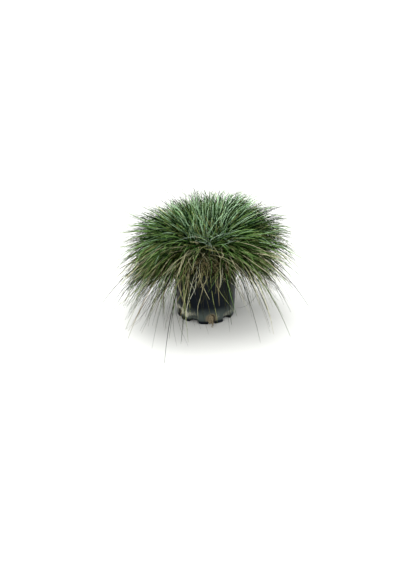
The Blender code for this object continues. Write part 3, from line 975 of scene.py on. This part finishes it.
DROOPING = Ring(
    "drooping_tuft", "straw_leaf", 13, -4, 15, 0.174, 5.6, 440,
    (0.026, 0.024, 0.22, 0.0045, 0.046), front_gap=1.5,
    trims=((FRONT_RIGHT, 0.2),), age=0.29, front_age=0.42,
)
SPREADING = Ring(
    "spreading_tuft", "green_leaf", 13, 17, 36, 0.206, 3.8, 372,
    (0.026, 0.024, 0.20, 0.0034, 0.032), front_gap=0.85,
    trims=((FRONT, 0.3), (BACK_LEFT, 0.18)), age=0.43, front_age=0.16,
)
ARCHING = Ring(
    "arching_tuft", "blue_green_leaf", 10, 38, 57, 0.145, 3.0, 330,
    (0.026, 0.014, 0.18, 0.0024, 0.020), front_gap=0.95,
    trims=((FRONT, 0.25), (BACK_LEFT, 0.15), (RIGHT, -0.10)),
)
UPRIGHT = Ring(
    "upright_tuft", "blue_green_leaf", 6, 59, 86, 0.106, 2.0, 250,
    (0.028, 0.006, 0.20, 0.002, 0.008), front_gap=0.7,
)
FRONT_DROOPING = Ring(
    "front_tuft", "straw_leaf", 13, -1, 15, 0.090, 33, 85,
    (0.026, 0.022, 0.60, 0.0050, 0.045), shorter=0.75, age=0.72,
)
OPEN_SIDE = (0, DROOPING.count - 1)

# How leaves share shoots, and how much tufts overlap their neighbours.
LEAVES_PER_SHOOT = 4
SHOOT_SPREAD = 0.055
RISE_SPREAD = 0.45
OVERLAP = 1.1
THINNED_HALF_WIDTH = math.radians(65)
TRIM_HALF_WIDTH = math.radians(60)

# Lengths: the longest leaf, and the few that outgrow it, in shares of the ring's length.
LONGEST = 1.06
LONG_ONES = 0.04
LONG_ONES_GROW = 0.05
DROOPS = (0.65, 1.35)

# Ages: how much younger the upper leaves of a tuft are, and how far shoots and leaves vary.
YOUNGER_UPWARDS = 0.28
SHOOT_AGES = 0.22
LEAF_AGES = 0.09
AGEING_HALF_WIDTH = math.radians(90)


def make_tuft(ring, index, number):
    draw = np.random.default_rng([ring.leaves, ring.count, index])
    thinned = 1 - ring.front_gap * towards(FRONT, ring.azimuth(index), THINNED_HALF_WIDTH)
    count = int(ring.leaves * thinned)
    shoots = count // LEAVES_PER_SHOOT
    shoot = draw.integers(0, shoots, count)
    half_wide = math.pi / ring.count
    middle, half_tall = (ring.low + ring.high) / 2, (ring.high - ring.low) / 2
    azimuth = ring.azimuth(index) + half_wide * draw.uniform(-OVERLAP, OVERLAP, shoots)[shoot]
    azimuth = azimuth + SHOOT_SPREAD * draw.normal(0, 1, count)
    height = draw.uniform(-OVERLAP, OVERLAP, shoots)[shoot]
    height = height + RISE_SPREAD * draw.normal(0, 1, count)
    elevation = middle + half_tall * height
    trim = 1 - sum(share * towards(side, azimuth, TRIM_HALF_WIDTH) for side, share in ring.trims)
    spare = draw.beta(2.0, 2.0, count)
    long_one = LONG_ONES_GROW * (draw.uniform(0, 1, count) < LONG_ONES)
    reach = ring.length * trim * (LONGEST + long_one - ring.shorter * spare)
    droop = ring.droop * draw.uniform(*DROOPS, count)
    lines = grown_leaves(draw, shoot, azimuth, elevation, reach, droop, ring.habit)
    age = ring.age + ring.front_age * towards(FRONT, azimuth, AGEING_HALF_WIDTH)
    age = age - YOUNGER_UPWARDS * height
    age = age + draw.normal(0, SHOOT_AGES, shoots)[shoot] + draw.normal(0, LEAF_AGES, count)
    rows = np.clip(age * COLOUR_ROWS, 0, COLOUR_ROWS - 1).astype(int)
    piece = bundle(
        f"{ring.name}_{number:02d}_leaves",
        FINISHES[ring.slot],
        lines,
        widths=leaf_widths(draw, rows),
        rows=rows,
        twists=draw.uniform(*TWISTS, count),
        azimuths=azimuth,
    )
    stand_for(piece, f"{ring.name}_{number:02d}")


for ring in (DROOPING, SPREADING, ARCHING, UPRIGHT, FRONT_DROOPING):
    indices = range(ring.count)
    if ring is DROOPING:
        indices = [index for index in indices if index not in OPEN_SIDE]
    elif ring is FRONT_DROOPING:
        indices = OPEN_SIDE
    for number, index in enumerate(indices, start=1):
        make_tuft(ring, index, number)


# ==================================================================== trailing leaves
# The longest leaves, which grow in the gaps between the drooping tufts, sink to the
# ground and lie or end there. Each has a few shorter ones beside it.

# (The gap between drooping tufts that it grows in, counted round from the front, how far out
# its tip is, how high its tip is, its slot.)
TRAILING = (
    (1, 0.140, 0.040, "green_leaf"),
    (2, 0.205, 0.012, "straw_leaf"),
    (3, 0.2155, 0.010, "green_leaf"),
    (5, 0.204, GROUND, "green_leaf"),
    (6, 0.2176, 0.008, "green_leaf"),
    (8, 0.206, 0.016, "straw_leaf"),
    (9, 0.212, GROUND, "green_leaf"),
    (10, 0.216, 0.020, "green_leaf"),
    (11, 0.190, GROUND, "straw_leaf"),
    (12, 0.218, GROUND, "green_leaf"),
)
TRAILING_HABIT = (0.010, 0.004, 0, 0.001, 0)
TRAILING_RINGS = 14
TRAILING_WIDTH = 0.0019
TRAILING_FROM_ROW = 14
COMPANIONS = 5
COMPANION_TURN = 0.13
COMPANION_LENGTHS = (0.70, 0.96)
COMPANION_RISE = 0.04
COMPANION_WIDTHS = (0.0011, 0.0016)

# Other leaves that reach the ground: (which trailing leaf they grow by, the turn from it,
# their reach as a share of its reach).
ON_THE_GROUND = ((1, 0.288, 1.19), (9, -0.155, 0.94), (10, -0.210, 0.85))


def make_trailing(number, gap, tip_out, tip_height, slot):
    draw = np.random.default_rng([17, number])
    grounded = [leaf[1:] for leaf in ON_THE_GROUND if leaf[0] == number]
    count = 1 + COMPANIONS
    beside = np.concatenate([[0], draw.uniform(-COMPANION_TURN, COMPANION_TURN, COMPANIONS)])
    shorter = np.concatenate([[1], draw.uniform(*COMPANION_LENGTHS, COMPANIONS)])
    raised = np.concatenate([[0], draw.uniform(0, COMPANION_RISE, COMPANIONS)])
    for which, (turn, share) in enumerate(grounded, start=1):
        beside[which], shorter[which], raised[which] = turn, share, GROUND - tip_height
    azimuth = FRONT + 2 * math.pi * gap / DROOPING.count + beside
    elevation = np.full(count, (DROOPING.low + DROOPING.high) / 2)
    reach = shorter * tip_out / np.cos(elevation)
    straight = leaf_flow(azimuth, elevation, reach, 0)[:, 2]
    sunk_by_one = straight - leaf_flow(azimuth, elevation, reach, 1)[:, 2]
    droop = (straight - tip_height - raised) / sunk_by_one
    shoot = np.arange(count)
    lines = grown_leaves(
        draw, shoot, azimuth, elevation, reach, droop, TRAILING_HABIT, TRAILING_RINGS
    )
    piece = bundle(
        f"trailing_leaf_{number:02d}_blade",
        FINISHES[slot],
        lines,
        widths=np.concatenate([[TRAILING_WIDTH], draw.uniform(*COMPANION_WIDTHS, COMPANIONS)]),
        rows=draw.integers(TRAILING_FROM_ROW, COLOUR_ROWS, count),
        twists=draw.uniform(*TWISTS, count),
        azimuths=azimuth,
    )
    stand_for(piece, f"trailing_leaf_{number:02d}")


for number, leaf in enumerate(TRAILING, start=1):
    make_trailing(number, *leaf)


# ==================================================================== front leaves
# Thin older leaves that come out from under the tufts on the open side, bend over the
# lip and hang down in front of the pot, where they cross one another.

# The longest strand of each: (degrees round from the front, place of the tip, slot, colour
# row).
FRONT_LEAVES = (
    (-19, (-0.040, -0.074, 0.012), "straw_leaf", 26),
    (-8, (-0.004, -0.080, 0.030), "green_leaf", 30),
    (5, (0.020, -0.082, 0.010), "straw_leaf", 17),
    (18, (0.046, -0.090, GROUND), "green_leaf", 25),
)
FRONT_LEAF_BOW = 0.10
FRONT_LEAF_HANG = 0.35
LONGEST_ROOT_OUT = 0.030
LONGEST_ROOT_RISE = 0.012
STRAND_ROOT_SHARE = 0.4
STRAND_ROOT_RISE = 0.010
LIP_CLEARANCE = 0.0024
HANG_RADIUS = 0.0685
STRAND_RINGS = 15
STRAND_WIDTH = 0.82
STRAND_TWISTS = (-3, 3)

# One leaf by the last of them turns back under the tufts and rests its tip by the pot:
# (colour row, the places it passes, in millimetres).
CURLED_LEAF = (
    17,
    (
        (72, -12, 116), (98, -14, 98), (111, -9, 66), (106, 0, 37), (92, 7, 13), (79, 10, 3),
        (66, 12, 1),
    ),
)

# The strands that hang with each of them: (colour row, distance of the tip from the axis,
# the places they pass, each as degrees round from the front and millimetres up).
FRONT_STRANDS = (
    (
        (26, 0.070, ((-42, 130), (-38, 108), (-31, 100), (-24, 90), (-19, 80), (-17, 70))),
        (26, 0.069, ((-16, 129), (-16, 97), (-18, 81), (-24, 67), (-28, 55), (-33, 39), (-37, 24))),
        (18, 0.070, ((-41, 84), (-35, 71), (-28, 55), (-27, 45), (-26, 27))),
        (23, 0.072, ((-58, 101), (-42, 111), (-37, 105), (-44, 89))),
        (25, 0.070, ((-21, 149), (-22, 141), (-19, 130), (-18, 123), (-23, 113), (-30, 106))),
        (13, 0.073, ((-37, 87), (-43, 66), (-52, 43))),
        (23, 0.071, ((-6, 118), (-14, 108), (-20, 97), (-24, 88))),
    ),
    (
        (31, 0.069, ((8, 112), (-1, 101), (-6, 81), (-9, 64), (-12, 53), (-14, 41), (-13, 18))),
        (30, 0.070, ((-15, 92), (-13, 76), (-9, 63), (-6, 54))),
        (25, 0.101, ((-11, 69), (-7, 50), (-3, 24), (3, 1))),
        (14, 0.094, ((-23, 84), (-27, 65), (-30, 45), (-33, 21), (-22, 1))),
        (26, 0.070, ((-7, 143), (-7, 115), (-4, 98))),
        (31, 0.071, ((3, 106), (0, 100), (-5, 93), (-9, 87))),
    ),
    (
        (18, 0.070, ((7, 105), (9, 83), (11, 62), (14, 44), (18, 25), (19, 6))),
        (
            18,
            0.072,
            ((22, 137), (17, 116), (14, 97), (19, 85), (24, 73), (33, 56), (42, 41), (54, 18)),
        ),
        (23, 0.070, ((25, 141), (37, 127), (32, 115), (26, 106), (17, 97))),
        (26, 0.073, ((21, 127), (22, 115), (27, 104), (38, 95), (51, 79))),
        (27, 0.071, ((40, 130), (45, 111), (52, 96), (57, 76))),
        (15, 0.070, ((12, 122), (16, 108), (8, 95), (3, 84))),
    ),
    (
        (28, 0.074, ((23, 105), (28, 83), (35, 60), (43, 39))),
        (25, 0.072, ((15, 112), (17, 90), (14, 70), (7, 55))),
        (27, 0.073, ((33, 118), (40, 100), (38, 84))),
        (25, 0.078, ((52, 124), (58, 105), (61, 88), (66, 70))),
    ),
)


def hanging_strand(tip_out, places):
    """From the crown, over the lip and down past these places."""
    turn, height = np.array(places, float).T
    if height[0] < 1000 * POT_HEIGHT:
        turn = np.concatenate([[turn[0]], turn])
        height = np.concatenate([[1000 * (POT_HEIGHT + LIP_CLEARANCE)], height])
    share = np.linspace(0, 1, len(turn))
    out = HANG_RADIUS + (tip_out - HANG_RADIUS) * share**3
    azimuth = FRONT + np.radians(turn)
    points = np.stack([out * np.cos(azimuth), out * np.sin(azimuth), height / 1000], -1)
    in_crown = points[0] * (STRAND_ROOT_SHARE, STRAND_ROOT_SHARE, 1) + (0, 0, STRAND_ROOT_RISE)
    return rounded([in_crown, *points], STRAND_RINGS)


def longest_strand(turn, tip):
    """It bends over the lip in one even curve, from the crown to its tip."""
    azimuth = FRONT + math.radians(turn)
    lead = np.array([math.cos(azimuth), math.sin(azimuth), 0])
    up = np.array([0, 0, 1.0])
    start = lead * LIP_RADIUS + (POT_HEIGHT + LIP_CLEARANCE) * up
    end = np.array(tip)
    pull_start = start + lead * np.linalg.norm(end - start) * FRONT_LEAF_BOW
    pull_end = end + FRONT_LEAF_HANG * (start - end)[2] * up
    share = np.linspace(0, 1, STRAND_RINGS - 2)[:, None]
    rest = 1 - share
    down = start * rest**3 + pull_start * 3 * rest**2 * share
    down = down + pull_end * 3 * rest * share**2 + end * share**3
    in_crown = lead * LONGEST_ROOT_OUT + (POT_HEIGHT + LONGEST_ROOT_RISE) * up
    return rounded([in_crown, *down], STRAND_RINGS)


def make_front_leaf(number, turn, tip, slot, row):
    draw = np.random.default_rng([23, number])
    hanging = FRONT_STRANDS[number - 1]
    lines = [longest_strand(turn, tip)] + [hanging_strand(*strand[1:]) for strand in hanging]
    rows = [row] + [strand[0] for strand in hanging]
    if number == len(FRONT_LEAVES):
        rows.append(CURLED_LEAF[0])
        lines.append(rounded(np.array(CURLED_LEAF[1]) / 1000, STRAND_RINGS))
    rows = np.array(rows)
    lines = kept_clear(np.array(lines))
    middles = lines[:, STRAND_RINGS // 2]
    piece = bundle(
        f"front_leaf_{number:02d}_strands",
        FINISHES[slot],
        lines,
        widths=STRAND_WIDTH * leaf_widths(draw, rows),
        rows=rows,
        twists=draw.uniform(*STRAND_TWISTS, len(rows)),
        azimuths=np.arctan2(middles[:, 1], middles[:, 0]),
        coloured=MIDDLE_OF_ROW,
    )
    stand_for(piece, f"front_leaf_{number:02d}")


for number, leaf in enumerate(FRONT_LEAVES, start=1):
    make_front_leaf(number, *leaf)


# ==================================================================== drain roots
# Roots that have grown out through the front foot's slot and dried on the ground, and the
# mat of finer ones that fills the slot.

# The main root's route: (out from the axis, to the side, up).
ROOT_ROUTE = (
    (0.0588, 0.000, 0.0060),
    (0.0622, 0.001, 0.0040),
    (0.0662, 0.000, 0.0016),
    (0.0710, -0.002, 0.0013),
    (0.0755, -0.001, 0.0011),
)
ROOT_STRANDS = 9
ROOT_FAN = (0.002, 0.004)
ROOT_WRIGGLE = 0.0006
ROOT_LIFT = 0.0007
ROOT_LENGTHS = (0.45, 1)
MAIN_ROOT_WIDTH = 0.0018
FIBRE_WIDTHS = (0.0005, 0.0011)
MAT_FIBRES = 70
MAT_RINGS = 5
MAT_ACROSS = (-0.0058, 0.0030)
MAT_HEIGHTS = (0.002, SLOT_HEIGHT - 0.003)
MAT_HALF_LENGTHS = (0.002, 0.006)
MAT_LEAN = 0.8
MAT_OUT = (0.0574, 0.0594)
MAT_BULGE = 0.0008
MAT_BULGE_RATE = 250
MAT_SIDES = (-0.0062, 0.0036)
MAT_ENDS = (GROUND, SLOT_HEIGHT - 0.0015)


def dried_root():
    finish = Finish("dried_root", roughness=0.85, specular=0.25)
    place_on = finish.place()
    mottle = finish.noise(place_on, 700.0, 4.0, 0.6)
    colour = finish.mix(mottle.rising(0.3, 0.7), (0.10, 0.075, 0.040), (0.54, 0.46, 0.30))
    finish.coat(Base_Color=colour)
    finish.bump(mottle, 0.0004)
    return finish


def make_drain_roots():
    draw = np.random.default_rng(31)
    angle = foot_angle(0)
    lead = np.array([math.cos(angle), math.sin(angle), 0])
    side = np.array([-math.sin(angle), math.cos(angle), 0])
    up = np.array([0, 0, 1.0])
    route = np.array(ROOT_ROUTE)
    line = route[:, :1] * lead + route[:, 1:2] * side + route[:, 2:] * up
    share = np.linspace(0, 1, len(route))[None, :, None]
    spread = draw.normal(0, 1, (ROOT_STRANDS, 1, 1)) * (ROOT_FAN[0] + ROOT_FAN[1] * share)
    spread[0] = 0
    wriggle = draw.normal(0, ROOT_WRIGGLE, (ROOT_STRANDS, len(route), 1))
    lifted = np.abs(draw.normal(0, ROOT_LIFT, (ROOT_STRANDS, len(route), 1)))
    lines = line[None] + (spread + wriggle) * side + lifted * up
    shorten = draw.uniform(*ROOT_LENGTHS, (ROOT_STRANDS, 1, 1))
    shorten[0] = 1
    lines = lines[:, :1] + (lines - lines[:, :1]) * shorten
    lines[..., 2] = np.maximum(lines[..., 2], GROUND)
    widths = draw.uniform(*FIBRE_WIDTHS, ROOT_STRANDS)
    widths[0] = MAIN_ROOT_WIDTH
    across = draw.uniform(*MAT_ACROSS, (MAT_FIBRES, 1))
    height = draw.uniform(*MAT_HEIGHTS, (MAT_FIBRES, 1))
    lean = draw.normal(math.pi / 2, MAT_LEAN, (MAT_FIBRES, 1))
    along = draw.uniform(*MAT_HALF_LENGTHS, (MAT_FIBRES, 1)) * np.linspace(-1, 1, MAT_RINGS)
    out = draw.uniform(*MAT_OUT, (MAT_FIBRES, 1)) + MAT_BULGE * np.cos(MAT_BULGE_RATE * along)
    sideways = np.clip(across + along * np.cos(lean), *MAT_SIDES)
    upwards = np.clip(height + along * np.sin(lean), *MAT_ENDS)
    mat = out[..., None] * lead + sideways[..., None] * side + upwards[..., None] * up
    lines = np.concatenate([lines, mat])
    widths = np.concatenate([widths, draw.uniform(*FIBRE_WIDTHS, MAT_FIBRES)])
    count = len(lines)
    azimuths = np.full(count, angle)
    rows = draw.integers(0, COLOUR_ROWS, count)
    twists = draw.uniform(*TWISTS, count)
    piece = bundle("drain_root_strands", dried_root(), lines, widths, rows, twists, azimuths)
    stand_for(piece, "drain_roots")


make_drain_roots()


# ==================================================================== studio
# A pale floor that runs out of sight, even white light from all round and a wide soft
# light overhead, a little to the back and the left.

AIM = Vector((-0.0117, 0.0230, 0.0494))
CAMERA_DISTANCE = 1.26
CAMERA_ELEVATION = math.radians(25)
LENS = 38
FLOOR_SIZE = 60
LAMP_STRENGTH = 2.0
LAMP_WIDTH = math.radians(50)
SKY_STRENGTH = 1.6
LAMP_FROM = Vector((-0.12, 0.30, 1))


def make_floor():
    bm = bmesh.new()
    bmesh.ops.create_grid(bm, x_segments=2, y_segments=2, size=FLOOR_SIZE / 2)
    finish = Finish("pale_floor", roughness=0.9, specular=0.1)
    broad = finish.noise(finish.place(), 3.0, 2.0, 0.5)
    finish.coat(Base_Color=finish.mix(broad, (0.655, 0.660, 0.640), (0.675, 0.680, 0.660)))
    place("floor", bm, finish)


def make_light():
    lamp = bpy.data.lights.new("overhead_softbox", "SUN")
    lamp.energy = LAMP_STRENGTH
    lamp.angle = LAMP_WIDTH
    light = bpy.data.objects.new("overhead_softbox", lamp)
    light.rotation_euler = (-LAMP_FROM).to_track_quat("-Z", "Y").to_euler()
    bpy.context.scene.collection.objects.link(light)
    world = bpy.data.worlds.new("studio")
    world.use_nodes = True
    sky = world.node_tree.nodes["Background"]
    sky.inputs["Color"].default_value = (1, 1, 1, 1)
    sky.inputs["Strength"].default_value = SKY_STRENGTH
    bpy.context.scene.world = world
    bpy.context.scene.view_settings.view_transform = "Standard"


def make_camera():
    back = Vector((0, -math.cos(CAMERA_ELEVATION), math.sin(CAMERA_ELEVATION)))
    camera = bpy.data.objects.new("camera", bpy.data.cameras.new("camera"))
    camera.data.lens = LENS
    camera.location = AIM + back * CAMERA_DISTANCE
    camera.rotation_euler = (-back).to_track_quat("-Z", "Y").to_euler()
    bpy.context.scene.collection.objects.link(camera)
    bpy.context.scene.camera = camera


make_floor()
make_light()
make_camera()
